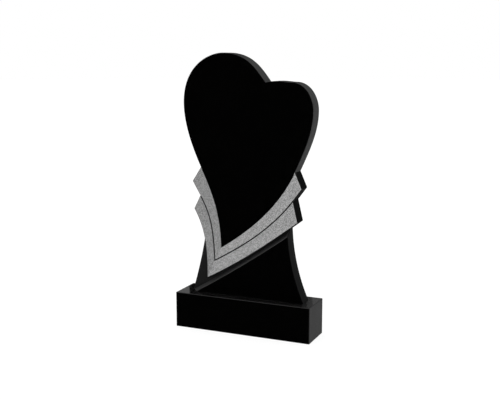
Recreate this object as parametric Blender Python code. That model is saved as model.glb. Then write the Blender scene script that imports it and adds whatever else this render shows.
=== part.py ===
"""Heart headstone: a slab stele that stands on a block plinth, both of black granite.

The stele is sawn from one slab. Its outline is a lopsided heart that grows out of two V-shaped bands
with pointed ends, above a foot with hollowed sides. The heart, the bands and the foot's lower right
facet share one front plane. Round the facet the foot is cut back to a recessed floor, and a fine
V groove parts the two bands.

Metres, +Z up, the front faces -Y. The origin is the centre of the plinth's underside.
"""
import bpy
import bmesh
from mathutils import Vector
from mathutils.geometry import interpolate_bezier

# The slab
STELE_HEIGHT = 0.936
STELE_WIDTH = 0.532
STELE_THICKNESS = 0.060

# The foot of the slab, and how far each of its sides is hollowed
FOOT_WIDTH = 0.478
LEFT_FOOT_HOLLOW = 0.0065
RIGHT_FOOT_HOLLOW = 0.016
WAIST_WIDTH_SHARE = 0.647
WAIST_HEIGHT_SHARE = 0.320

# The cut-back floor beside and below the bands, and the slope from it up to the facet
RECESS_DEPTH = 0.025
SLOPE_RUN = 0.011
FACET_INSET = 0.026
FACET_EDGE_SAG = 0.005
FACET_TOP_SHARE = 0.272

# The V groove between the two bands
GROOVE_WIDTH = 0.005
GROOVE_DEPTH = 0.003

# The plinth shows this much beyond the slab
PLINTH_END_LEDGE = 0.042
PLINTH_FRONT_LEDGE = 0.045
PLINTH_BACK_LEDGE = 0.045
PLINTH_HEIGHT = 0.140
PLINTH_ARRIS = 0.002

# The bedding joint between slab and plinth
SEAT_GAP = 0.0003

# How far the cutters reach past the stone, and above its face for the groove
CUTTER_REACH = 0.020
GROOVE_CUTTER_RISE = 0.001

PLINTH_WIDTH = FOOT_WIDTH + 2 * PLINTH_END_LEDGE
PLINTH_DEPTH = STELE_THICKNESS + PLINTH_FRONT_LEDGE + PLINTH_BACK_LEDGE
STELE_FRONT_Y = -PLINTH_DEPTH / 2 + PLINTH_FRONT_LEDGE
STELE_FOOT_Z = PLINTH_HEIGHT + SEAT_GAP

# The drawing of the face. Each point is a share of the slab's width, from the middle of the foot,
# and of the slab's height, from the foot. A curve is an end, its two handles and the other end.
HEART_NOTCH = (0.155, 0.885)
LEFT_SHOULDER = (-0.354, 0.533)
RIGHT_SHOULDER = (0.380, 0.532)
LEFT_LOBE_SIDE = (-0.489, 0.797)
LEFT_LOBE_TOP = (-0.172, 1.000)
RIGHT_LOBE_TOP = (0.348, 0.886)
RIGHT_LOBE_SIDE = (0.511, 0.775)
UPPER_POINT_LEFT = (-0.422, 0.473)
UPPER_POINT_RIGHT = (0.431, 0.467)
LOWER_POINT_LEFT = (-0.411, 0.357)
LOWER_POINT_RIGHT = (0.402, 0.330)
GROOVE_END_LEFT = (-0.360, 0.414)
GROOVE_END_RIGHT = (0.365, 0.417)
GROOVE_TIP = (-0.245, 0.143)
BAND_TIP = (-0.308, 0.064)

HEART_OUTER_CURVES = (
    (LEFT_SHOULDER, (-0.400, 0.588), (-0.489, 0.695), LEFT_LOBE_SIDE),
    (LEFT_LOBE_SIDE, (-0.489, 0.947), (-0.289, 1.000), LEFT_LOBE_TOP),
    (LEFT_LOBE_TOP, (0.008, 1.000), (0.080, 0.942), HEART_NOTCH),
    (HEART_NOTCH, (0.250, 0.895), (0.309, 0.886), RIGHT_LOBE_TOP),
    (RIGHT_LOBE_TOP, (0.459, 0.886), (0.511, 0.820), RIGHT_LOBE_SIDE),
    (RIGHT_LOBE_SIDE, (0.511, 0.704), (0.470, 0.641), RIGHT_SHOULDER),
)
BAND_LOWER_CURVE = (BAND_TIP, (-0.051, 0.141), (0.177, 0.232), LOWER_POINT_RIGHT)
BAND_LEFT_CURVE = (LOWER_POINT_LEFT, (-0.309, 0.260), (-0.309, 0.172), BAND_TIP)
GROOVE_CURVES = (
    (GROOVE_END_LEFT, (-0.258, 0.323), (-0.255, 0.242), GROOVE_TIP),
    (GROOVE_TIP, (-0.016, 0.214), (0.208, 0.300), GROOVE_END_RIGHT),
)
CURVE_POINTS = 17


def black_granite(name, colour, roughness):
    """A granite finish as one Principled material."""
    material = bpy.data.materials.new(name)
    material.use_nodes = True
    shader = material.node_tree.nodes["Principled BSDF"]
    shader.inputs["Base Color"].default_value = (*colour, 1.0)
    shader.inputs["Roughness"].default_value = roughness
    shader.inputs["Metallic"].default_value = 0.0
    return material


def on_slab(share):
    """The place on the slab's face, as width and height in metres, of a point of the drawing."""
    return Vector((share[0] * STELE_WIDTH, share[1] * STELE_HEIGHT))


def curve(ends_and_handles):
    """Points along one curve of the drawing, both ends among them."""
    start, leave, arrive, end = (on_slab(share) for share in ends_and_handles)
    return [point.to_2d() for point in interpolate_bezier(
        start.to_3d(), leave.to_3d(), arrive.to_3d(), end.to_3d(), CURVE_POINTS)]


def chain(curves):
    """Points along curves that follow each other, with each shared end once."""
    points = []
    for one in curves:
        points += curve(one)[:-1]
    points.append(on_slab(curves[-1][-1]))
    return points


def sagged(start, end, sag):
    """Points along a shallow arc from start to end that bows by sag to the right of that line."""
    chord = end - start
    right = Vector((chord.y, -chord.x)).normalized()
    points = []
    for step in range(CURVE_POINTS):
        share = step / (CURVE_POINTS - 1)
        points.append(start + chord * share + right * (4 * sag * share * (1 - share)))
    return points


def heart_and_bands_outline():
    """The outline of the heart and both bands, clockwise from the lower band's tip."""
    outline = list(reversed(curve(BAND_LEFT_CURVE)))
    outline += [on_slab(GROOVE_END_LEFT), on_slab(UPPER_POINT_LEFT)]
    outline += chain(HEART_OUTER_CURVES)
    outline += [on_slab(UPPER_POINT_RIGHT), on_slab(GROOVE_END_RIGHT)]
    outline += list(reversed(curve(BAND_LOWER_CURVE)))[:-1]
    return outline


def foot_side(side):
    """The foot's hollowed side from the bottom up to the waist; side is -1 for left, 1 for right."""
    bottom = Vector((side * FOOT_WIDTH / 2, 0.0))
    waist = Vector((side * STELE_WIDTH * WAIST_WIDTH_SHARE / 2, STELE_HEIGHT * WAIST_HEIGHT_SHARE))
    hollow = LEFT_FOOT_HOLLOW if side < 0 else RIGHT_FOOT_HOLLOW
    return sagged(bottom, waist, -side * hollow)


def foot_outline():
    """The outline of the foot, which runs up inside the bands, clockwise from its lower left."""
    return foot_side(-1) + list(reversed(foot_side(1)))


def facet_edge():
    """The facet's upper left edge, from the foot's lower left to its right side."""
    top_height = STELE_HEIGHT * FACET_TOP_SHARE
    side = foot_side(1)
    above = next(index for index, point in enumerate(side) if point.y > top_height)
    low, high = side[above - 1], side[above]
    end = low.lerp(high, (top_height - low.y) / (high.y - low.y))
    start = Vector((-FOOT_WIDTH / 2 + FACET_INSET, 0.0))
    return sagged(start, end, FACET_EDGE_SAG)


def link(name, bm):
    """A linked object made from a bmesh, with its faces pointing out."""
    bmesh.ops.recalc_face_normals(bm, faces=bm.faces)
    mesh = bpy.data.meshes.new(name)
    bm.to_mesh(mesh)
    bm.free()
    obj = bpy.data.objects.new(name, mesh)
    bpy.context.scene.collection.objects.link(obj)
    return obj


def guide(obj):
    """Keep an object as a cutter or a hidden half of a solid."""
    obj.hide_render = True
    obj.display_type = "WIRE"
    return obj


def plate(name, outline, thickness):
    """An outline in X and Z pulled back along +Y into a plate."""
    bm = bmesh.new()
    face = bm.faces.new([bm.verts.new((point.x, 0.0, point.y)) for point in outline])
    pulled = bmesh.ops.extrude_face_region(bm, geom=[face])["geom"]
    back = [item for item in pulled if isinstance(item, bmesh.types.BMVert)]
    bmesh.ops.translate(bm, verts=back, vec=(0.0, thickness, 0.0))
    return link(name, bm)


def loft(name, rings):
    """A closed body through rings of as many points each, capped at both ends."""
    bm = bmesh.new()
    rows = [[bm.verts.new(point) for point in ring] for ring in rings]
    for row, following in zip(rows, rows[1:]):
        for index in range(len(row)):
            after = (index + 1) % len(row)
            bm.faces.new((row[index], row[after], following[after], following[index]))
    bm.faces.new(rows[0])
    bm.faces.new(reversed(rows[-1]))
    return link(name, bm)


def lengthened(points, reach):
    """A line of points whose two end points are moved out by reach, each along its own run."""
    first = points[0] + (points[0] - points[1]).normalized() * reach
    last = points[-1] + (points[-1] - points[-2]).normalized() * reach
    return [first, *points[1:-1], last]


def recess_cutter():
    """All that is cut away in front of the foot's floor, with its slope down from the facet's edge."""
    edge = lengthened(facet_edge(), CUTTER_REACH)
    chord = (edge[-1] - edge[0]).normalized()
    away = Vector((-chord.y, chord.x))
    top = STELE_HEIGHT * WAIST_HEIGHT_SHARE + CUTTER_REACH
    left = -FOOT_WIDTH / 2 - 2 * CUTTER_REACH
    rings = []
    for depth in (-CUTTER_REACH, RECESS_DEPTH):
        run = SLOPE_RUN * depth / RECESS_DEPTH
        ring = [point + away * run for point in edge]
        ring += [Vector((ring[-1].x, top)), Vector((left, top)), Vector((left, ring[0].y))]
        rings.append([(point.x, depth, point.y) for point in ring])
    return guide(loft("recess_cutter", rings))


def groove_cutter():
    """A V-shaped bar along the groove, which leaves the slab sideways at both of its notches."""
    line = chain(GROOVE_CURVES)
    sideways = Vector((CUTTER_REACH, 0.0))
    line = [line[0] - sideways, *line, line[-1] + sideways]
    half = GROOVE_WIDTH / 2 * (GROOVE_DEPTH + GROOVE_CUTTER_RISE) / GROOVE_DEPTH
    rings = []
    for index, point in enumerate(line):
        before = (point - line[max(index - 1, 0)]).normalized()
        after = (line[min(index + 1, len(line) - 1)] - point).normalized()
        if index == 0:
            before = after
        if index == len(line) - 1:
            after = before
        normals = [Vector((-way.y, way.x)) for way in (before, after)]
        mitre = (normals[0] + normals[1]) / (1 + normals[0].dot(normals[1])) * half
        over, under = point + mitre, point - mitre
        rings.append([(over.x, -GROOVE_CUTTER_RISE, over.y), (under.x, -GROOVE_CUTTER_RISE, under.y),
                      (point.x, GROOVE_DEPTH, point.y)])
    return guide(loft("groove_cutter", rings))


def combine(obj, other, operation):
    """Join another solid to an object or cut it out."""
    modifier = obj.modifiers.new(other.name, "BOOLEAN")
    modifier.operation = operation
    modifier.solver = "EXACT"
    modifier.object = other


def make_stele(granite, stand):
    """The slab: heart, bands and foot in one piece of stone."""
    foot = guide(plate("foot_half", foot_outline(), STELE_THICKNESS))
    stele = plate("stele", heart_and_bands_outline(), STELE_THICKNESS)
    recess = recess_cutter()
    groove = groove_cutter()
    combine(foot, recess, "DIFFERENCE")
    combine(stele, foot, "UNION")
    combine(stele, groove, "DIFFERENCE")
    for obj in (stele, foot, recess, groove):
        obj.location = (0.0, STELE_FRONT_Y, STELE_FOOT_Z)
        obj.parent = stand
    stele.data.materials.append(granite)


def make_plinth(granite, stand):
    """The block under the slab, with its arrises taken off."""
    bm = bmesh.new()
    bmesh.ops.create_cube(bm, size=1.0)
    bmesh.ops.scale(bm, vec=(PLINTH_WIDTH, PLINTH_DEPTH, PLINTH_HEIGHT), verts=bm.verts)
    plinth = link("plinth", bm)
    plinth.location = (0.0, 0.0, PLINTH_HEIGHT / 2)
    plinth.parent = stand
    arris = plinth.modifiers.new("arris", "BEVEL")
    arris.width = PLINTH_ARRIS
    arris.segments = 1
    plinth.data.materials.append(granite)


def main():
    """Build the headstone."""
    for obj in list(bpy.data.objects):
        bpy.data.objects.remove(obj, do_unlink=True)
    granite = black_granite("black_granite", (0.012, 0.012, 0.013), 0.08)
    stand = bpy.data.objects.new("headstone", None)
    bpy.context.scene.collection.objects.link(stand)
    make_plinth(granite, stand)
    make_stele(granite, stand)


main()
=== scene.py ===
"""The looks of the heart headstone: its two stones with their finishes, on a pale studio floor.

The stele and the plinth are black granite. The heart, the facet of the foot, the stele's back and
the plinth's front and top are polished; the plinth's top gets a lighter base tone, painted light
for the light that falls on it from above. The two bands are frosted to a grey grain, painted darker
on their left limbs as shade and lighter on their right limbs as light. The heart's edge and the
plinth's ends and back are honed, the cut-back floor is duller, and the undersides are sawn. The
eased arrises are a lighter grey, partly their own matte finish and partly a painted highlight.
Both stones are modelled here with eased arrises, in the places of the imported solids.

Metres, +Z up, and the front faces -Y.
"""
import logging
import math
from dataclasses import dataclass, field
from enum import Enum
from typing import Callable, ClassVar, Iterable, Mapping, Optional, Sequence, Union

import bmesh
import bpy
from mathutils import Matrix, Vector
from mathutils.geometry import intersect_line_line_2d

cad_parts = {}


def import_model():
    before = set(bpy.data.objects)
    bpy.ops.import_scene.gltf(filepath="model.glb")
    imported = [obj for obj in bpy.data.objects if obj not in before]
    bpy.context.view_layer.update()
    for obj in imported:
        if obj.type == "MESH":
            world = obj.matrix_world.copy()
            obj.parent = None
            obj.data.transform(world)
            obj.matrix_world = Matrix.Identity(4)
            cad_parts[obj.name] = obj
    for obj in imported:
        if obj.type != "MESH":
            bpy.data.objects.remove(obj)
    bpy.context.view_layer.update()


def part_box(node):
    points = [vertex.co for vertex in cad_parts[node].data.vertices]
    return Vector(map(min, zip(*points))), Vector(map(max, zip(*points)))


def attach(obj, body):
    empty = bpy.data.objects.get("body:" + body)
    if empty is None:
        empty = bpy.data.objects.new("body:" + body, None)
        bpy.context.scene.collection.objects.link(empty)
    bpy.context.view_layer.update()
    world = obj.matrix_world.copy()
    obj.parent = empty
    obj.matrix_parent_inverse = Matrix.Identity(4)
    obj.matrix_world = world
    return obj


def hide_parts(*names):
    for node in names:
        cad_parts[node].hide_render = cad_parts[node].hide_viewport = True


LOG = logging.getLogger("headstone")
BODY = "root"

# Edges that fold by more than this are arrises or inner corners
ARRIS_ANGLE = math.radians(35)
ARRIS_SEGMENTS = 3
# The bevel's profile that is a true round
ARRIS_PROFILE = 0.5
# Corners that agree to this many digits of a metre are one
CORNER_DIGITS = 7

Share = tuple[float, float]


# Shader graphs


class Signal:
    """An output socket of a shader node that can stand in an expression."""

    def __init__(self, graph: "Graph", socket: bpy.types.NodeSocket) -> None:
        """Wrap one socket.

        Args:
            graph: The graph that the socket's node is in.
            socket: The output socket.
        """
        self.graph = graph
        self.socket = socket

    def _worked(self, operation: str, first: "Value", second: "Value") -> "Signal":
        """Put two values through a Math node.

        Args:
            operation: The Math node's operation.
            first: The node's first value.
            second: The node's second value.

        Returns:
            The node's result.
        """
        return self.graph.node("ShaderNodeMath", {"operation": operation}, {0: first, 1: second})

    def __add__(self, other: "Value") -> "Signal":
        """This value plus another."""
        return self._worked("ADD", self, other)

    def __radd__(self, other: "Value") -> "Signal":
        """Another value plus this one."""
        return self._worked("ADD", other, self)

    def __sub__(self, other: "Value") -> "Signal":
        """This value less another."""
        return self._worked("SUBTRACT", self, other)

    def __rmul__(self, other: "Value") -> "Signal":
        """Another value times this one."""
        return self._worked("MULTIPLY", other, self)


Value = Union[Signal, float]
SocketValue = Union[Signal, float, tuple[float, ...]]


class Graph:
    """The shader nodes of one material."""

    # The Mix node's sockets for colours, by number because their names repeat
    MIX_FACTOR: ClassVar[int] = 0
    MIX_FIRST: ClassVar[int] = 6
    MIX_SECOND: ClassVar[int] = 7
    MIX_RESULT: ClassVar[int] = 2
    NOISE_MEAN: ClassVar[float] = 0.5

    def __init__(self, name: str) -> None:
        """Start a material whose graph holds only its output.

        Args:
            name: The material's name.
        """
        self.material = bpy.data.materials.new(name)
        self.material.use_nodes = True
        self.tree = self.material.node_tree
        self.tree.nodes.remove(self.tree.nodes["Principled BSDF"])

    def node(
        self,
        kind: str,
        settings: Optional[Mapping[str, object]] = None,
        sockets: Optional[Mapping[Union[str, int], SocketValue]] = None,
        output: Union[str, int] = 0,
    ) -> Signal:
        """Add a node, set it up and connect it.

        Args:
            kind: The node's type.
            settings: The node's own properties, set before its sockets.
            sockets: Values or signals for its inputs, by name or number.
            output: The output that is handed back.

        Returns:
            That output as a signal.
        """
        node = self.tree.nodes.new(kind)
        for name, value in (settings or {}).items():
            setattr(node, name, value)
        for name, value in (sockets or {}).items():
            if isinstance(value, Signal):
                self.tree.links.new(value.socket, node.inputs[name])
            else:
                node.inputs[name].default_value = value
        return Signal(self, node.outputs[output])

    def stone_place(self) -> Signal:
        """The place on the stone in metres, which every pattern is laid out by."""
        return self.node("ShaderNodeTexCoord", output="Object")

    def noise(self, place: Signal, size: float, detail: float = 2.0) -> Signal:
        """Cloudy noise about zero.

        Args:
            place: Where it is read.
            size: The width of its clouds in metres.
            detail: Octaves of finer clouds.

        Returns:
            The noise, mostly between -0.3 and 0.3.
        """
        sockets = {"Vector": place, "Scale": 1 / size, "Detail": detail}
        return self.node("ShaderNodeTexNoise", sockets=sockets) - self.NOISE_MEAN

    def crystals(self, place: Signal, size: float) -> Signal:
        """A tone for each crystal of the stone.

        Args:
            place: Where it is read.
            size: The width of a crystal in metres.

        Returns:
            A value from 0 to 1 that is the same all over a crystal.
        """
        sockets = {"Vector": place, "Scale": 1 / size}
        cells = self.node("ShaderNodeTexVoronoi", sockets=sockets, output="Color")
        return self.node("ShaderNodeSeparateColor", sockets={"Color": cells})

    def ranged(self, value: Signal, low: float, high: float) -> Signal:
        """A value stretched so that low becomes 0 and high becomes 1, and held between them."""
        sockets = {"Value": value, "From Min": low, "From Max": high}
        return self.node("ShaderNodeMapRange", sockets=sockets)

    def mixed(self, factor: Signal, first: SocketValue, second: SocketValue) -> Signal:
        """The colour that lies between two others by a factor from 0 to 1."""
        sockets = {self.MIX_FACTOR: factor, self.MIX_FIRST: first, self.MIX_SECOND: second}
        return self.node("ShaderNodeMix", {"data_type": "RGBA"}, sockets, self.MIX_RESULT)

    def close(self, shader: Signal) -> bpy.types.Material:
        """Make a shader the material's surface and return the material."""
        self.tree.links.new(shader.socket, self.tree.nodes["Material Output"].inputs["Surface"])
        return self.material


def grey(tone: float) -> tuple[float, ...]:
    """A grey of one tone, as a colour socket takes it."""
    return (tone, tone, tone, 1.0)


@dataclass(frozen=True)
class StoneFinish:
    """How a face of the black granite is worked.

    Attributes:
        name: The finish's name.
        dark: The tone of the stone's darkest crystals.
        light: The tone of its lightest crystals.
        roughness: The mean roughness.
        specular: The strength of the reflection.
        light_share: The share of crystals that are lighter than the darkest.
        mottle: How much the tone varies over a few crystals, as a share of the range of tones.
        cloud: How much the tone drifts over the whole face, as a share of the range of tones.
        crystal_size: The width of a crystal.
        grain_depth: The depth of the worked grain.
    """

    name: str
    dark: float
    light: float
    roughness: float
    specular: float = 0.3
    light_share: float = 0.4
    mottle: float = 0.6
    cloud: float = 0.4
    crystal_size: float = 0.0014
    grain_depth: float = 0.00003

    MOTTLE_SIZE: ClassVar[float] = 0.006
    CLOUD_SIZE: ClassVar[float] = 0.12
    CLOUD_DETAIL: ClassVar[float] = 4.0
    GRAIN_DETAIL: ClassVar[float] = 3.0
    ROUGHNESS_CLOUD: ClassVar[float] = 0.09
    ROUGHNESS_DETAIL: ClassVar[float] = 5.0
    ROUGHNESS_DRIFT: ClassVar[float] = 0.15

    def material(self) -> bpy.types.Material:
        """Build the finish.

        Returns:
            The material.
        """
        graph = Graph(self.name)
        place = graph.stone_place()
        fleck = graph.ranged(graph.crystals(place, self.crystal_size), 1 - self.light_share, 1.0)
        mottle = graph.noise(place, self.MOTTLE_SIZE)
        cloud = graph.noise(place, self.CLOUD_SIZE, self.CLOUD_DETAIL)
        share = fleck + self.mottle * mottle + self.cloud * cloud
        drift = graph.noise(place, self.ROUGHNESS_CLOUD, self.ROUGHNESS_DETAIL)
        grain = graph.noise(place, self.crystal_size, self.GRAIN_DETAIL)
        bump = graph.node("ShaderNodeBump", sockets={"Height": grain, "Distance": self.grain_depth})
        shader = graph.node("ShaderNodeBsdfPrincipled", sockets={
            "Base Color": graph.mixed(share, grey(self.dark), grey(self.light)),
            "Roughness": self.roughness * (1 + self.ROUGHNESS_DRIFT * drift),
            "Specular IOR Level": self.specular,
            "Normal": bump,
        })
        return graph.close(shader)


class Finish(Enum):
    """The finishes of the two stones."""

    POLISHED = StoneFinish("polished", 0.0004, 0.0018, 0.06, specular=0.5, grain_depth=0.000002)
    # Painted light: the plinth's top gets a lighter base tone than the polished front, standing in
    # for the extra light that falls on it from above.
    PLINTH_TOP_PAINTED_LIGHT = StoneFinish("plinth_top_painted_light", 0.0070, 0.0130, 0.03, specular=0.5, grain_depth=0.000001)
    PLINTH_END = StoneFinish("plinth_end", 0.038, 0.078, 0.45)
    # Lit and shaded copies of one frosted finish: the left limbs of the bands are painted darker as
    # shade, the right limbs lighter as light.
    FROSTED_LEFT_SHADED = StoneFinish(
        "frosted_left_painted_shade", 0.100, 0.410, 0.75, light_share=0.85, mottle=0.15, cloud=0.16,
        crystal_size=0.0015, grain_depth=0.00012,
    )
    FROSTED_RIGHT_LIT = StoneFinish(
        "frosted_right_painted_light", 0.134, 0.515, 0.75, light_share=0.85, mottle=0.15, cloud=0.12,
        crystal_size=0.0015, grain_depth=0.00012,
    )
    GROOVE = StoneFinish("groove", 0.015, 0.035, 0.5, specular=0.1)
    HONED_EDGE = StoneFinish("honed_edge", 0.033, 0.070, 0.45)
    BAND_SIDE = StoneFinish("band_side", 0.001, 0.004, 0.35, specular=0.015)
    FOOT_SIDE = StoneFinish("foot_side", 0.002, 0.006, 0.30, specular=0.06)
    FLOOR = StoneFinish("cut_back_floor", 0.010, 0.022, 0.45)
    SLOPE = StoneFinish("slope", 0.034, 0.062, 0.40)
    # The eased arrises are a lighter matte grey than the polish: partly their own finish, partly a
    # painted highlight along the plinth's front top edge.
    ARRIS = StoneFinish("eased_arris_and_painted_highlight", 0.020, 0.040, 0.40)
    SAWN = StoneFinish("sawn", 0.030, 0.065, 0.70, grain_depth=0.00008)


# Lines of the drawing


class Line:
    """A line of the drawing that is followed by a share from 0 to 1."""

    HALVINGS: ClassVar[int] = 40

    def at(self, share: float) -> Vector:
        """The point at a share of the way along."""
        raise NotImplementedError

    def points(self, count: int, first: float = 0.0, last: float = 1.0) -> list[Vector]:
        """Points spread over a stretch of the line, both ends among them.

        Args:
            count: How many points.
            first: The share at which the stretch starts.
            last: The share at which it ends.

        Returns:
            The points in order.
        """
        return [self.at(first + (last - first) * step / (count - 1)) for step in range(count)]

    def crossing(self, gap: Callable[[Vector], float]) -> float:
        """Find where a measure changes its sign along the line.

        Args:
            gap: The measure of a point, of opposite signs at the line's ends.

        Returns:
            The share at which the measure is zero.
        """
        low, high = 0.0, 1.0
        rising = gap(self.at(high)) > gap(self.at(low))
        for _ in range(self.HALVINGS):
            middle = (low + high) / 2
            if (gap(self.at(middle)) > 0) == rising:
                high = middle
            else:
                low = middle
        return (low + high) / 2


@dataclass(frozen=True)
class Bezier(Line):
    """A curve with its two ends and its two handles."""

    start: Vector
    leave: Vector
    arrive: Vector
    end: Vector

    def at(self, share: float) -> Vector:
        """The point at a share of the way along."""
        rest = 1 - share
        return (
            self.start * rest**3
            + self.leave * (3 * rest**2 * share)
            + self.arrive * (3 * rest * share**2)
            + self.end * share**3
        )


@dataclass(frozen=True)
class Sagged(Line):
    """A shallow arc that bows by its sag to the right of the line from its start to its end."""

    start: Vector
    end: Vector
    sag: float

    def at(self, share: float) -> Vector:
        """The point at a share of the way along."""
        chord = self.end - self.start
        right = Vector((chord.y, -chord.x)).normalized()
        return self.start + chord * share + right * (4 * self.sag * share * (1 - share))

    def share_at(self, height: float) -> float:
        """The share at which the arc reaches a height."""
        return self.crossing(lambda point: point.y - height)


def clipped(line: Sequence[Vector], gate: tuple[Vector, Vector]) -> tuple[int, Vector]:
    """Find where a line of points first crosses a gate.

    Args:
        line: The points.
        gate: The gate's two ends.

    Returns:
        The number of the first point beyond the gate, and the crossing.
    """
    for index, (before, after) in enumerate(zip(line, line[1:])):
        meeting = intersect_line_line_2d(before, after, *gate)
        if meeting is not None:
            return index + 1, meeting
    raise ValueError("the line doesn't cross the gate")


def chained(curves: Iterable[Bezier], count: int) -> list[Vector]:
    """Points along curves that follow each other, with each shared end once.

    Args:
        curves: The curves in order.
        count: How many points each has.

    Returns:
        The points in order.
    """
    points: list[Vector] = []
    for curve in curves:
        points += curve.points(count)[1 if points else 0:]
    return points


@dataclass(frozen=True)
class Drawing:
    """The drawing of the stele's face.

    Its points are shares of the slab's width, from the middle of the foot, and of the slab's
    height, from the foot.
    """

    width: float
    height: float
    heart_tip: Share = (-0.193, 0.199)
    heart_notch: Share = (0.155, 0.885)
    left_shoulder: Share = (-0.354, 0.533)
    right_shoulder: Share = (0.380, 0.532)
    left_lobe_side: Share = (-0.489, 0.797)
    left_lobe_top: Share = (-0.172, 1.000)
    right_lobe_top: Share = (0.348, 0.886)
    right_lobe_side: Share = (0.511, 0.775)
    upper_point_left: Share = (-0.422, 0.473)
    upper_point_right: Share = (0.431, 0.467)
    lower_point_left: Share = (-0.411, 0.357)
    lower_point_right: Share = (0.402, 0.330)
    groove_end_left: Share = (-0.360, 0.414)
    groove_end_right: Share = (0.365, 0.417)
    groove_tip: Share = (-0.245, 0.143)
    band_tip: Share = (-0.308, 0.064)

    def place(self, share: Share) -> Vector:
        """The place on the face, in metres, of a point of the drawing."""
        return Vector((share[0] * self.width, share[1] * self.height))

    def curve(self, start: Share, leave: Share, arrive: Share, end: Share) -> Bezier:
        """A curve of the drawing, in metres."""
        return Bezier(*(self.place(share) for share in (start, leave, arrive, end)))

    def heart_outer(self) -> list[Bezier]:
        """The heart's own outline, from its left shoulder over both lobes to its right shoulder."""
        return [
            self.curve(self.left_shoulder, (-0.400, 0.588), (-0.489, 0.695), self.left_lobe_side),
            self.curve(self.left_lobe_side, (-0.489, 0.947), (-0.289, 1.000), self.left_lobe_top),
            self.curve(self.left_lobe_top, (0.008, 1.000), (0.080, 0.942), self.heart_notch),
            self.curve(self.heart_notch, (0.250, 0.895), (0.309, 0.886), self.right_lobe_top),
            self.curve(self.right_lobe_top, (0.459, 0.886), (0.511, 0.820), self.right_lobe_side),
            self.curve(self.right_lobe_side, (0.511, 0.704), (0.470, 0.641), self.right_shoulder),
        ]

    def heart_lower(self) -> list[Bezier]:
        """The heart's edge against the upper band, from the right shoulder by the tip to the left."""
        return [
            self.curve(self.right_shoulder, (0.260, 0.388), (0.041, 0.283), self.heart_tip),
            self.curve(self.heart_tip, (-0.199, 0.341), (-0.254, 0.418), self.left_shoulder),
        ]

    def groove(self) -> list[Bezier]:
        """The groove between the bands, from its left end by its tip to its right end."""
        return [
            self.curve(self.groove_end_left, (-0.258, 0.323), (-0.255, 0.242), self.groove_tip),
            self.curve(self.groove_tip, (-0.016, 0.214), (0.208, 0.300), self.groove_end_right),
        ]

    def band_left(self) -> Bezier:
        """The lower band's left edge, down to its tip."""
        return self.curve(self.lower_point_left, (-0.309, 0.260), (-0.309, 0.172), self.band_tip)

    def band_lower(self) -> Bezier:
        """The lower band's lower edge, from its tip up to its right point."""
        return self.curve(self.band_tip, (-0.051, 0.141), (0.177, 0.232), self.lower_point_right)


# Stones


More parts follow.
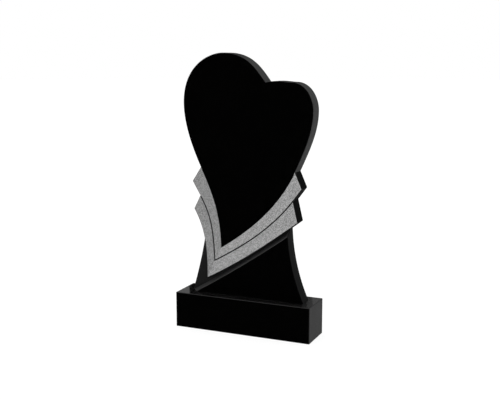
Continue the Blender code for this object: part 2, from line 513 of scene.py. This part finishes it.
class StoneMesh:
    """A mesh put together from faces by their corners, where equal corners share a vertex."""

    def __init__(self, finishes: Sequence[Finish], origin: Vector) -> None:
        """Start an empty mesh.

        Args:
            finishes: The finishes of its faces, in the order of the piece's slots.
            origin: The place of the drawing's zero, on the front plane.
        """
        self.bm = bmesh.new()
        self.finishes = list(finishes)
        self.origin = origin
        self.corners: dict[tuple[float, ...], bmesh.types.BMVert] = {}

    def corner(self, point: Vector, depth: float) -> bmesh.types.BMVert:
        """The vertex at a point of the drawing and a depth behind the front plane."""
        place = self.origin + Vector((point.x, depth, point.y))
        key = tuple(round(value, CORNER_DIGITS) for value in place)
        if key not in self.corners:
            self.corners[key] = self.bm.verts.new(place)
        return self.corners[key]

    def face(self, finish: Finish, corners: Iterable[tuple[Vector, float]]) -> None:
        """Add a face.

        Args:
            finish: Its finish.
            corners: Its corners in order, each a point of the drawing and a depth.
        """
        loop: list[bmesh.types.BMVert] = []
        for point, depth in corners:
            vertex = self.corner(point, depth)
            if vertex not in loop:
                loop.append(vertex)
        made = self.bm.faces.new(loop)
        made.material_index = self.finishes.index(finish)
        made.smooth = True

    def flat(self, finish: Finish, points: Sequence[Vector], depth: float) -> None:
        """Add a face that lies parallel to the front, at a depth."""
        self.face(finish, [(point, depth) for point in points])

    def strip(
        self,
        finish: Finish,
        first: Sequence[Vector],
        first_depth: float,
        second: Sequence[Vector],
        second_depth: float,
    ) -> None:
        """Add a strip of faces between two lines of as many points.

        Args:
            finish: The finish of the strip.
            first: The first line.
            first_depth: The depth of the first line.
            second: The second line.
            second_depth: The depth of the second line.
        """
        for index in range(len(first) - 1):
            self.face(finish, [
                (first[index], first_depth), (first[index + 1], first_depth),
                (second[index + 1], second_depth), (second[index], second_depth),
            ])

    def wall(self, finish: Finish, line: Sequence[Vector], front: float, back: float) -> None:
        """Add a wall along a line, straight back from one depth to another."""
        self.strip(finish, line, front, line, back)

    def ease(self, width: float, keep_sharp: Sequence[Finish]) -> list[bmesh.types.BMFace]:
        """Round the arrises off, and keep the inner corners crisp.

        Args:
            width: How far each arris is taken back.
            keep_sharp: Faces of these finishes keep all their edges crisp.

        Returns:
            The faces of the arrises.
        """
        bmesh.ops.recalc_face_normals(self.bm, faces=self.bm.faces)
        crisp = {self.finishes.index(finish) for finish in keep_sharp}
        eased: list[bmesh.types.BMEdge] = []
        for edge in self.bm.edges:
            if edge.calc_face_angle() < ARRIS_ANGLE:
                continue
            if edge.is_convex and not crisp & {face.material_index for face in edge.link_faces}:
                eased.append(edge)
            else:
                edge.smooth = False
        # The bevel's faces take the arris finish, with its painted highlight.
        made = bmesh.ops.bevel(
            self.bm, geom=eased, offset=width, offset_type="OFFSET", segments=ARRIS_SEGMENTS,
            profile=ARRIS_PROFILE, affect="EDGES", miter_outer="ARC",
            material=self.finishes.index(Finish.ARRIS),
        )
        for face in made["faces"]:
            face.smooth = True
        return made["faces"]

    def carry_round(
        self, arrises: Iterable[bmesh.types.BMFace], sides: Sequence[Finish]
    ) -> None:
        """Carry the finish of a side round the arrises that border it.

        Args:
            arrises: The faces of the arrises.
            sides: The finishes that are carried round.
        """
        carried = {self.finishes.index(finish) for finish in sides}
        plain = set(arrises)
        for _ in range(ARRIS_SEGMENTS):
            reached: dict[bmesh.types.BMFace, int] = {}
            for face in plain:
                near = {other.material_index for edge in face.edges for other in edge.link_faces}
                if near & carried:
                    reached[face] = min(near & carried)
            for face, index in reached.items():
                face.material_index = index
            plain -= set(reached)

    def piece(self, name: str, node: str) -> bpy.types.Object:
        """Turn the mesh into the piece that is shown.

        Args:
            name: The piece's name.
            node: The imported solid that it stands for.

        Returns:
            The piece.
        """
        mesh = bpy.data.meshes.new(name)
        self.bm.to_mesh(mesh)
        self.bm.free()
        obj = bpy.data.objects.new(name, mesh)
        bpy.context.scene.collection.objects.link(obj)
        for finish in self.finishes:
            mesh.materials.append(finish.value.material())
        obj.modifiers.new("flat_faces", "WEIGHTED_NORMAL").keep_sharp = True
        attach(obj, BODY)
        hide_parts(node)
        LOG.info("%s: %d faces, stands for %s", name, len(mesh.polygons), node)
        return obj


@dataclass
class HeartStele:
    """The slab with the heart, the two bands and the foot.

    Attributes:
        low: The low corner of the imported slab's box.
        high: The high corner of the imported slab's box.
        foot_width: The foot's width at the bottom.
        left_hollow: How far the foot's left side is hollowed.
        right_hollow: How far the foot's right side is hollowed.
        waist_width_share: The foot's width at the waist, as a share of the slab's width.
        waist_height_share: The waist's height, as a share of the slab's height.
        floor: The depth of the cut-back floor.
        slope_run: How far the slope runs out between the facet's edge and the floor.
        facet_inset: How far the facet's lower corner lies inside the foot's left side.
        facet_edge_sag: How far the facet's upper left edge bows.
        facet_top_share: The height of the facet's top, as a share of the slab's height.
        groove_width: The width of the groove between the bands.
        groove_depth: The depth of that groove.
        groove_overrun: How far the groove's line is carried out sideways, in groove widths.
        arris: How far the arrises are taken back.
        curve_points: The points along each curve.
        neck_points: The points along the foot's right side between the facet and the band.
        drawing: The drawing at the slab's size.
        back: The depth of the slab's back.
        heart_outer: The heart's own outline.
        heart_lower: The heart's edge against the upper band.
        left_free: The lower band's left edge, where it stands free of the foot.
        left_wall: The same edge in front of the foot, down to the tip.
        lower_wall: The lower band's lower edge in front of the foot, from the tip up.
        lower_free: The same edge where it stands free of the foot.
        facet_edge: The facet's upper left edge.
        slope_foot: The foot of the slope that falls from it.
        floor_start: The corner of the floor at the foot's lower left.
        floor_end: The corner of the floor at the foot's right side.
        left_side: The foot's left side up to the band.
        facet_side: The foot's right side along the facet.
        neck_side: The foot's right side from the floor's corner up to the band.
    """

    low: Vector
    high: Vector
    foot_width: float = 0.478
    left_hollow: float = 0.0065
    right_hollow: float = 0.016
    waist_width_share: float = 0.647
    waist_height_share: float = 0.320
    floor: float = 0.025
    slope_run: float = 0.011
    facet_inset: float = 0.026
    facet_edge_sag: float = 0.005
    facet_top_share: float = 0.272
    groove_width: float = 0.005
    groove_depth: float = 0.003
    groove_overrun: float = 4.0
    arris: float = 0.0018
    curve_points: int = 33
    neck_points: int = 3
    drawing: Drawing = field(init=False)
    back: float = field(init=False)
    heart_outer: list[Vector] = field(init=False)
    heart_lower: list[Vector] = field(init=False)
    left_free: list[Vector] = field(init=False)
    left_wall: list[Vector] = field(init=False)
    lower_wall: list[Vector] = field(init=False)
    lower_free: list[Vector] = field(init=False)
    facet_edge: list[Vector] = field(init=False)
    slope_foot: list[Vector] = field(init=False)
    floor_start: Vector = field(init=False)
    floor_end: Vector = field(init=False)
    left_side: list[Vector] = field(init=False)
    facet_side: list[Vector] = field(init=False)
    neck_side: list[Vector] = field(init=False)

    def __post_init__(self) -> None:
        """Lay the drawing out on the slab and work out the lines that the faces share."""
        self.drawing = Drawing(self.high.x - self.low.x, self.high.z - self.low.z)
        self.back = self.high.y - self.low.y
        self.heart_outer = chained(self.drawing.heart_outer(), self.curve_points)
        self.heart_lower = chained(self.drawing.heart_lower(), self.curve_points)
        self.lay_out_bands()
        self.lay_out_foot()

    def foot_side(self, side: int) -> Sagged:
        """The foot's hollowed side from the bottom up; side is -1 for left and 1 for right."""
        bottom = Vector((side * self.foot_width / 2, 0.0))
        waist = Vector((
            side * self.drawing.width * self.waist_width_share / 2,
            self.drawing.height * self.waist_height_share,
        ))
        return Sagged(bottom, waist, -side * (self.left_hollow if side < 0 else self.right_hollow))

    def lay_out_bands(self) -> None:
        """Work out the lower band's edges, in front of the foot and free of it."""
        left, lower = self.drawing.band_left(), self.drawing.band_lower()
        foot_left, foot_right = self.foot_side(-1), self.foot_side(1)

        def beyond(side: Sagged) -> Callable[[Vector], float]:
            """The measure of how far a point lies to the right of a side of the foot."""
            return lambda point: point.x - side.at(side.share_at(point.y)).x

        leaves, meets = left.crossing(beyond(foot_left)), lower.crossing(beyond(foot_right))
        self.left_free = left.points(self.curve_points // 2, 0.0, leaves)
        self.left_wall = left.points(self.curve_points, leaves, 1.0)
        self.lower_wall = lower.points(self.curve_points, 0.0, meets)
        self.lower_free = lower.points(self.curve_points, meets, 1.0)

    def lay_out_foot(self) -> None:
        """Work out the foot's sides, its facet and the slope from the facet down to the floor."""
        count = self.curve_points
        left, right = self.foot_side(-1), self.foot_side(1)
        facet_share = right.share_at(self.drawing.height * self.facet_top_share)
        facet_start = Vector((-self.foot_width / 2 + self.facet_inset, 0.0))
        facet_line = Sagged(facet_start, right.at(facet_share), self.facet_edge_sag)
        self.facet_edge = facet_line.points(count)
        chord = (self.facet_edge[-1] - self.facet_edge[0]).normalized()
        away = Vector((-chord.y, chord.x)) * self.slope_run
        self.slope_foot = [point + away for point in self.facet_edge]

        first, second = self.slope_foot[:2]
        self.floor_start = first + (first - second) * (first.y / (second.y - first.y))
        last = self.slope_foot[-1]
        run = last - self.slope_foot[-2]
        floor_share = right.crossing(lambda point: run.cross(point - last))
        self.floor_end = right.at(floor_share)

        self.left_side = left.points(count, 0.0, left.share_at(self.left_wall[0].y))
        self.left_side[-1] = self.left_wall[0]
        self.facet_side = right.points(count, 0.0, facet_share)
        neck_end = right.share_at(self.lower_wall[-1].y)
        self.neck_side = right.points(self.neck_points, floor_share, neck_end)
        self.neck_side[-1] = self.lower_wall[-1]

    def end(self, name: str) -> Vector:
        """The place on the face of a named point of the drawing."""
        return self.drawing.place(getattr(self.drawing, name))

    def groove_lip(self, stone: StoneMesh, side: int) -> list[Vector]:
        """Cut one slope of the groove's V.

        Args:
            stone: The mesh that gets the slope.
            side: 1 for the slope on the upper band, -1 for the one on the lower band.

        Returns:
            The points of its lip, from left to right.
        """
        line = chained(self.drawing.groove(), self.curve_points)
        sideways = Vector((self.groove_overrun * self.groove_width, 0.0))
        line = [line[0] - sideways, *line, line[-1] + sideways]
        ways = [(after - before).normalized() for before, after in zip(line, line[1:])]
        normals = [Vector((-way.y, way.x)) for way in ways]
        mitres = [before + after for before, after in zip(normals, normals[1:])]
        mitres = [mitre * (2 / mitre.length_squared) for mitre in mitres]
        mitres = [normals[0], *mitres, normals[-1]]
        half = side * self.groove_width / 2
        lip = [point + mitre * half for point, mitre in zip(line, mitres)]
        band = "upper" if side > 0 else "lower"
        left_gate, right_gate = (
            (self.end(f"groove_end_{hand}"), self.end(f"{band}_point_{hand}"))
            for hand in ("left", "right")
        )
        first, left_end = clipped(lip, left_gate)
        beyond, right_end = clipped(lip[::-1], right_gate)
        last = len(lip) - beyond
        lip = [left_end, *lip[first:last], right_end]
        bottom = [line[1], *line[first:last], line[-2]]
        stone.strip(Finish.GROOVE, lip, 0.0, bottom, self.groove_depth)
        return lip

    def add_front(
        self, stone: StoneMesh, upper_lip: list[Vector], lower_lip: list[Vector]
    ) -> None:
        """Add the faces in the front plane: the heart, both limbs of both bands, and the facet.

        Args:
            stone: The mesh that gets them.
            upper_lip: The groove's lip on the upper band.
            lower_lip: The groove's lip on the lower band.
        """
        upper_fold, lower_fold = (
            min(range(len(lip)), key=lambda index: lip[index].y) for lip in (upper_lip, lower_lip)
        )
        heart_tip = self.curve_points - 1
        left_heart, right_heart = self.heart_lower[heart_tip:], self.heart_lower[:heart_tip + 1]
        left_edge = self.left_free + self.left_wall[1:]
        right_edge = self.lower_wall + self.lower_free[1:]
        upper_left = [self.end("upper_point_left"), *upper_lip[:upper_fold + 1], *left_heart]
        upper_right = [*upper_lip[upper_fold:], self.end("upper_point_right"), *right_heart]
        stone.flat(Finish.POLISHED, self.heart_outer[:-1] + self.heart_lower[:-1], 0.0)
        # The left limbs take the copy with painted shade, the right limbs the copy with painted
        # light.
        stone.flat(Finish.FROSTED_LEFT_SHADED, upper_left, 0.0)
        stone.flat(Finish.FROSTED_RIGHT_LIT, upper_right, 0.0)
        stone.flat(Finish.FROSTED_LEFT_SHADED, left_edge + lower_lip[:lower_fold + 1][::-1], 0.0)
        stone.flat(Finish.FROSTED_RIGHT_LIT, right_edge + lower_lip[lower_fold:][::-1], 0.0)
        stone.flat(Finish.POLISHED, self.facet_edge + self.facet_side[:-1][::-1], 0.0)

    def add_recess(self, stone: StoneMesh) -> None:
        """Add the cut-back floor, the slope up to the facet and the walls under the lower band."""
        outline = self.left_side + self.left_wall[1:] + self.lower_wall[1:]
        outline += self.neck_side[:-1][::-1] + self.slope_foot[::-1] + [self.floor_start]
        stone.flat(Finish.FLOOR, outline, self.floor)
        stone.strip(Finish.SLOPE, self.facet_edge, 0.0, self.slope_foot, self.floor)
        for edge, foot, end in (
            (self.facet_edge[0], self.slope_foot[0], self.floor_start),
            (self.facet_edge[-1], self.slope_foot[-1], self.floor_end),
        ):
            stone.face(Finish.SLOPE, [(edge, 0.0), (foot, self.floor), (end, self.floor)])
        stone.wall(Finish.BAND_SIDE, self.left_wall, 0.0, self.floor)
        stone.wall(Finish.BAND_SIDE, self.lower_wall, 0.0, self.floor)

    def add_band_sides(
        self, stone: StoneMesh, upper_lip: list[Vector], lower_lip: list[Vector]
    ) -> None:
        """Add the sides of both bands, from the heart's shoulders down to the foot.

        Args:
            stone: The mesh that gets them.
            upper_lip: The groove's lip on the upper band.
            lower_lip: The groove's lip on the lower band.
        """
        for hand, index in (("left", 0), ("right", -1)):
            shoulder, upper = self.end(f"{hand}_shoulder"), self.end(f"upper_point_{hand}")
            notch, lower = self.end(f"groove_end_{hand}"), self.end(f"lower_point_{hand}")
            stone.wall(Finish.BAND_SIDE, [shoulder, upper], 0.0, self.back)
            for lip, point in ((upper_lip, upper), (lower_lip, lower)):
                stone.face(Finish.BAND_SIDE, [
                    (lip[index], 0.0), (point, 0.0), (point, self.back),
                    (notch, self.back), (notch, self.groove_depth),
                ])
        for line in (self.left_free, self.lower_free[::-1]):
            stone.wall(Finish.BAND_SIDE, line[:-1], 0.0, self.back)
            before, at = line[-2:]
            stone.face(Finish.BAND_SIDE, [
                (before, 0.0), (at, 0.0), (at, self.floor), (at, self.back), (before, self.back),
            ])

    def add_foot_sides(self, stone: StoneMesh) -> None:
        """Add the foot's two hollowed sides and its underside."""
        edge, end = self.facet_side[-1], self.floor_end
        stone.wall(Finish.FOOT_SIDE, self.left_side, self.floor, self.back)
        stone.wall(Finish.FOOT_SIDE, self.neck_side, self.floor, self.back)
        stone.wall(Finish.FOOT_SIDE, self.facet_side, 0.0, self.back)
        stone.face(Finish.FOOT_SIDE, [
            (edge, 0.0), (end, self.floor), (end, self.back), (edge, self.back),
        ])
        left, right = self.left_side[0], self.facet_side[0]
        stone.face(Finish.SAWN, [
            (left, self.floor), (self.floor_start, self.floor), (self.facet_edge[0], 0.0),
            (right, 0.0), (right, self.back), (left, self.back),
        ])

    def add_back(self, stone: StoneMesh) -> None:
        """Add the plain back, which has the whole outline."""
        left = self.left_side + self.left_free[:-1][::-1]
        right = self.lower_free[::-1] + self.neck_side[:-1][::-1] + self.facet_side[::-1]
        heart = [self.end("groove_end_left"), self.end("upper_point_left"), *self.heart_outer]
        heart += [self.end("upper_point_right"), self.end("groove_end_right")]
        stone.flat(Finish.POLISHED, left + heart + right, self.back)

    def build(self) -> bpy.types.Object:
        """Model the slab face by face.

        Returns:
            The piece.
        """
        stone = StoneMesh(list(Finish), Vector((0.0, self.low.y, self.low.z)))
        upper_lip, lower_lip = self.groove_lip(stone, 1), self.groove_lip(stone, -1)
        self.add_front(stone, upper_lip, lower_lip)
        self.add_recess(stone)
        stone.wall(Finish.HONED_EDGE, self.heart_outer, 0.0, self.back)
        self.add_band_sides(stone, upper_lip, lower_lip)
        self.add_foot_sides(stone)
        self.add_back(stone)
        arrises = stone.ease(self.arris, [Finish.GROOVE, Finish.SAWN])
        carried = [Finish.HONED_EDGE, Finish.BAND_SIDE, Finish.FOOT_SIDE, Finish.SLOPE]
        stone.carry_round(arrises, carried)
        return stone.piece("heart_stele", "stele")


@dataclass
class Plinth:
    """The block that the slab stands on.

    Attributes:
        low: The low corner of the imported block's box.
        high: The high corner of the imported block's box.
        arris: How far its arrises are taken back.
    """

    low: Vector
    high: Vector
    arris: float = 0.002

    def build(self) -> bpy.types.Object:
        """Model the block.

        Returns:
            The piece.
        """
        depth = self.high.y - self.low.y
        stone = StoneMesh(list(Finish), Vector((0.0, self.low.y, self.low.z)))
        left, right, top = self.low.x, self.high.x, self.high.z - self.low.z
        places = ((left, 0.0), (left, top), (right, top), (right, 0.0))
        corners = [Vector(place) for place in places]
        stone.flat(Finish.POLISHED, corners, 0.0)
        stone.flat(Finish.PLINTH_END, corners, depth)
        stone.wall(Finish.PLINTH_END, corners[:2], 0.0, depth)
        # The top takes the finish with the painted light.
        stone.wall(Finish.PLINTH_TOP_PAINTED_LIGHT, corners[1:3], 0.0, depth)
        stone.wall(Finish.PLINTH_END, corners[2:], 0.0, depth)
        stone.wall(Finish.SAWN, [corners[3], corners[0]], 0.0, depth)
        # Nothing is carried round, so every arris of the block keeps the arris finish with its
        # painted highlight.
        stone.ease(self.arris, [])
        return stone.piece("plinth_block", "plinth")


# The studio


@dataclass(frozen=True)
class SoftBox:
    """A rectangular soft light.

    Attributes:
        name: The light's name.
        centre: The place of its middle.
        target: The point that it faces.
        width: Its width.
        height: Its height.
        radiance: Its brightness.
        lights_stone: Whether it lights rough surfaces too, and not only shows in the polish.
    """

    name: str
    centre: tuple[float, float, float]
    target: tuple[float, float, float]
    width: float
    height: float
    radiance: float
    lights_stone: bool = True

    def build(self) -> None:
        """Hang the light, turned to its target and out of the picture."""
        light = bpy.data.lights.new(self.name, "AREA")
        light.shape = "RECTANGLE"
        light.size = self.width
        light.size_y = self.height
        light.energy = self.radiance * math.pi * self.width * self.height
        obj = bpy.data.objects.new(self.name, light)
        obj.location = self.centre
        way = Vector(self.target) - Vector(self.centre)
        obj.rotation_euler = way.to_track_quat("-Z", "Y").to_euler()
        obj.visible_camera = False
        obj.visible_diffuse = self.lights_stone
        bpy.context.scene.collection.objects.link(obj)


@dataclass
class Studio:
    """The pale floor, the soft light and the camera.

    Attributes:
        floor_radius: The radius of the round floor.
        floor_edges: The edges of its rim.
        floor_tone: The tone of the floor under light.
        floor_glow: The strength of the floor's own even light.
        floor_roughness: The floor's roughness.
        sky: The strength of the room's even light.
        card_distance: How far the cards stand behind the stone.
        card_centre: The height of the cards' middle.
        card_height: The cards' own height.
        lens: The camera's focal length in millimetres.
        sensor: The width of its sensor in millimetres.
        azimuth: The camera's angle round the stone, from the front to the right, in degrees.
        elevation: Its angle above the ground, in degrees.
        distance: Its distance from its target.
        target: The point that it looks at.
    """

    # The cards that show in the polish: name, left edge, right edge and radiance
    CARDS: ClassVar[tuple[tuple[str, float, float, float], ...]] = (
        ("left_card", -6.0, -2.908, 0.34),
        ("dim_card", -1.75, -1.535, 0.05),
        ("middle_card", -1.535, -1.475, 0.115),
        ("right_card", -1.475, 4.5, 0.23),
    )

    floor_radius: float = 40.0
    floor_edges: int = 96
    floor_tone: float = 0.20
    floor_glow: float = 0.86
    floor_roughness: float = 0.9
    sky: float = 1.0
    card_distance: float = 5.0
    card_centre: float = 0.8
    card_height: float = 7.0
    lens: float = 60.40
    sensor: float = 36.0
    azimuth: float = 23.625
    elevation: float = 9.579
    distance: float = 3.2212
    target: tuple[float, float, float] = (0.0078, -0.002, 0.5185)

    def boxes(self) -> list[SoftBox]:
        """Lay out the soft lights: the one that lights the stone, and the cards behind it.

        Returns:
            The lights.
        """
        boxes = [SoftBox("key", (-2.2, -2.6, 3.0), (0.0, 0.0, 0.5), 2.0, 2.0, 1.0)]
        for name, left, right, radiance in self.CARDS:
            middle = (left + right) / 2
            centre = (middle, self.card_distance, self.card_centre)
            target = (middle, 0.0, self.card_centre)
            boxes.append(SoftBox(
                name, centre, target, right - left, self.card_height, radiance, lights_stone=False
            ))
        return boxes

    def build_floor(self) -> None:
        """Lay the pale floor, which doesn't show in the polish."""
        graph = Graph("pale_floor")
        shader = graph.node("ShaderNodeBsdfPrincipled", sockets={
            "Base Color": grey(self.floor_tone),
            "Roughness": self.floor_roughness,
            "Specular IOR Level": 0.0,
            "Emission Color": grey(1.0),
            "Emission Strength": self.floor_glow,
        })
        bm = bmesh.new()
        bmesh.ops.create_circle(
            bm, cap_ends=True, radius=self.floor_radius, segments=self.floor_edges
        )
        mesh = bpy.data.meshes.new("floor")
        bm.to_mesh(mesh)
        bm.free()
        mesh.materials.append(graph.close(shader))
        floor = bpy.data.objects.new("floor", mesh)
        floor.visible_glossy = False
        bpy.context.scene.collection.objects.link(floor)

    def build_sky(self) -> None:
        """Fill the room with even light, which doesn't show in the polish."""
        world = bpy.data.worlds.new("room")
        world.use_nodes = True
        background = world.node_tree.nodes["Background"]
        background.inputs["Color"].default_value = grey(1.0)
        background.inputs["Strength"].default_value = self.sky
        world.cycles_visibility.glossy = False
        bpy.context.scene.world = world

    def build_camera(self) -> None:
        """Set up the camera where the photograph was taken from."""
        camera = bpy.data.cameras.new("camera")
        camera.sensor_fit = "HORIZONTAL"
        camera.sensor_width = self.sensor
        camera.lens = self.lens
        azimuth, elevation = math.radians(self.azimuth), math.radians(self.elevation)
        back = Vector((
            math.sin(azimuth) * math.cos(elevation),
            -math.cos(azimuth) * math.cos(elevation),
            math.sin(elevation),
        ))
        obj = bpy.data.objects.new("camera", camera)
        obj.location = Vector(self.target) + back * self.distance
        obj.rotation_euler = (-back).to_track_quat("-Z", "Y").to_euler()
        bpy.context.scene.collection.objects.link(obj)
        bpy.context.scene.camera = obj

    def build(self) -> None:
        """Set up the whole studio."""
        bpy.context.scene.view_settings.view_transform = "Standard"
        self.build_camera()
        self.build_floor()
        self.build_sky()
        boxes = self.boxes()
        for box in boxes:
            box.build()
        LOG.info("studio: floor, room light, %d soft boxes, camera", len(boxes))


def main() -> None:
    """Build the studio and both stones."""
    logging.basicConfig(level=logging.INFO, format="%(message)s")
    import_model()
    Studio().build()
    HeartStele(*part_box("stele")).build()
    Plinth(*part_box("plinth")).build()
    LOG.info("sizes written")


if __name__ == "__main__":
    main()
